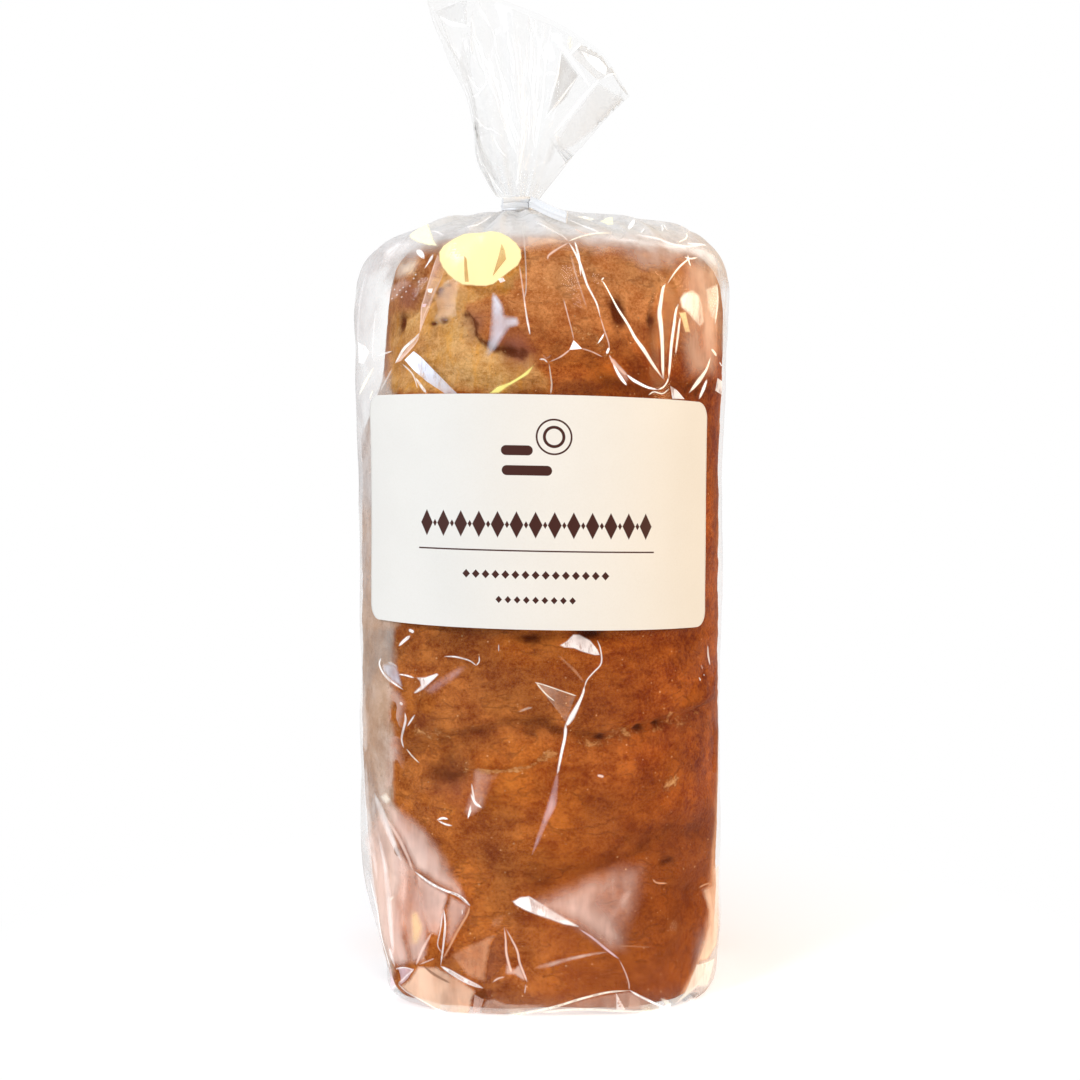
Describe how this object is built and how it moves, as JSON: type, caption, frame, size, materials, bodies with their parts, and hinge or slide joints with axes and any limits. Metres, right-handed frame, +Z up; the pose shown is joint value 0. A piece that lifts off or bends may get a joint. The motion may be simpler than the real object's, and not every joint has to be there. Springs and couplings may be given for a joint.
{
  "type": "bagged brioche loaf",
  "caption": "Pan-baked brioche loaf standing on its end in a clear film bag, gathered and tied at the top, with a paper label curved across its front.",
  "frame": {"origin": "middle of the flat base, on the surface the loaf stands on", "axes": "+Z up along the loaf towards the tie, -Y out of the front with the label, +X to the right seen from the front"},
  "size_m": [0.1246, 0.0995, 0.3439],
  "materials": {
    "crust": "browned bread crust seen through clear film",
    "film": "clear glossy wrapping film with sharp creases",
    "label_paper": "smooth cream label with plain dark brown shapes",
    "tie": "white paper ribbon over a thin wire"
  },
  "bodies": {
    "root": {"bag": "crust", "label": "label_paper", "twist_tie": "tie"}
  },
  "joints": []
}
